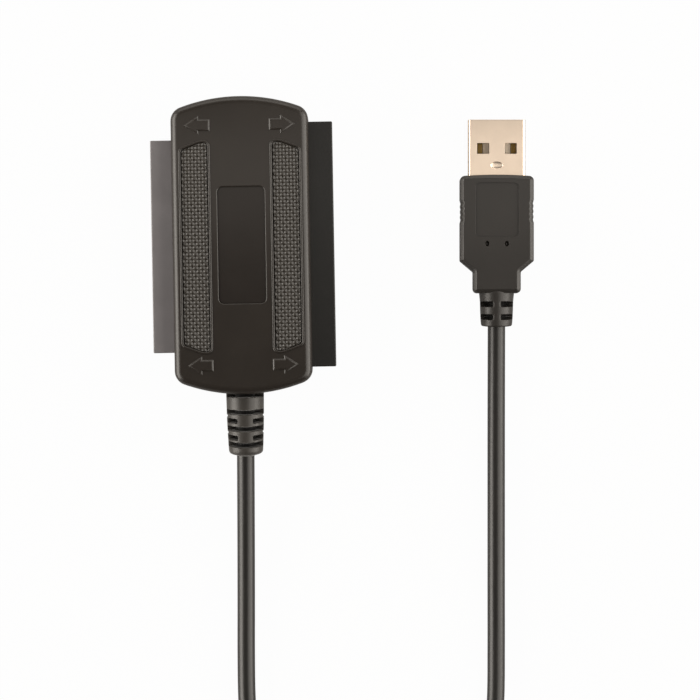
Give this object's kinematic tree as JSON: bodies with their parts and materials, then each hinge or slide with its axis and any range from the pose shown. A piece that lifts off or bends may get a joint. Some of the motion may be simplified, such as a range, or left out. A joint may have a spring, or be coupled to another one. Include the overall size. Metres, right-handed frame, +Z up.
{
  "type": "usb to ide and sata drive adapter",
  "caption": "Moulded adapter box with a wide socket on each long side and a SATA port in its end, on a round cord to a USB-A plug.",
  "frame": {"origin": "centre of the casing's underside", "axes": "+Y to the SATA end, +X to the 40-way socket, +Z up out of the top cover"},
  "size_m": [0.0804, 0.1837, 0.0146],
  "materials": {
    "casing_black": "fine satin moulding",
    "socket_black": "dull moulding",
    "port_black": "dull moulding",
    "boot_black": "satin soft moulding",
    "cord_black": "satin soft sheath",
    "strap_black": "woven strap",
    "grip_black": "satin soft moulding",
    "core_ivory": "dull moulding",
    "shell_nickel": "bright nickel on folded steel",
    "contact_gold": "gold flash",
    "board_green": "solder mask",
    "chip_black": "moulded package",
    "capacitor_yellow": "moulded package",
    "crystal_can": "drawn can",
    "wire_red": "insulation",
    "wire_white": "insulation",
    "wire_green": "insulation",
    "wire_black": "insulation"
  },
  "bodies": {
    "root": {"top_cover": "casing_black", "bottom_cover": "casing_black", "socket_40_way": "socket_black", "socket_44_way": "socket_black", "sata_port": "port_black", "cord_boot": "boot_black", "cord_box_side": "cord_black", "cord_plug_side": "cord_black", "cord_coil": "cord_black", "cord_tie": "strap_black", "plug_grip": "grip_black", "plug_core": "core_ivory", "plug_tongue": "core_ivory", "plug_shell": "shell_nickel", "sata_contact_1": "contact_gold", "sata_contact_2": "contact_gold", "sata_contact_3": "contact_gold", "sata_contact_4": "contact_gold", "sata_contact_5": "contact_gold", "sata_contact_6": "contact_gold", "sata_contact_7": "contact_gold", "plug_contact_1": "contact_gold", "plug_contact_2": "contact_gold", "plug_contact_3": "contact_gold", "plug_contact_4": "contact_gold", "circuit_board": "board_green", "bridge_chip": "chip_black", "memory_chip": "chip_black", "regulator": "chip_black", "ferrite_bead": "chip_black", "capacitor_input": "capacitor_yellow", "capacitor_output": "capacitor_yellow", "crystal": "crystal_can", "wire_red": "wire_red", "wire_white": "wire_white", "wire_green": "wire_green", "wire_black": "wire_black"}
  },
  "joints": []
}
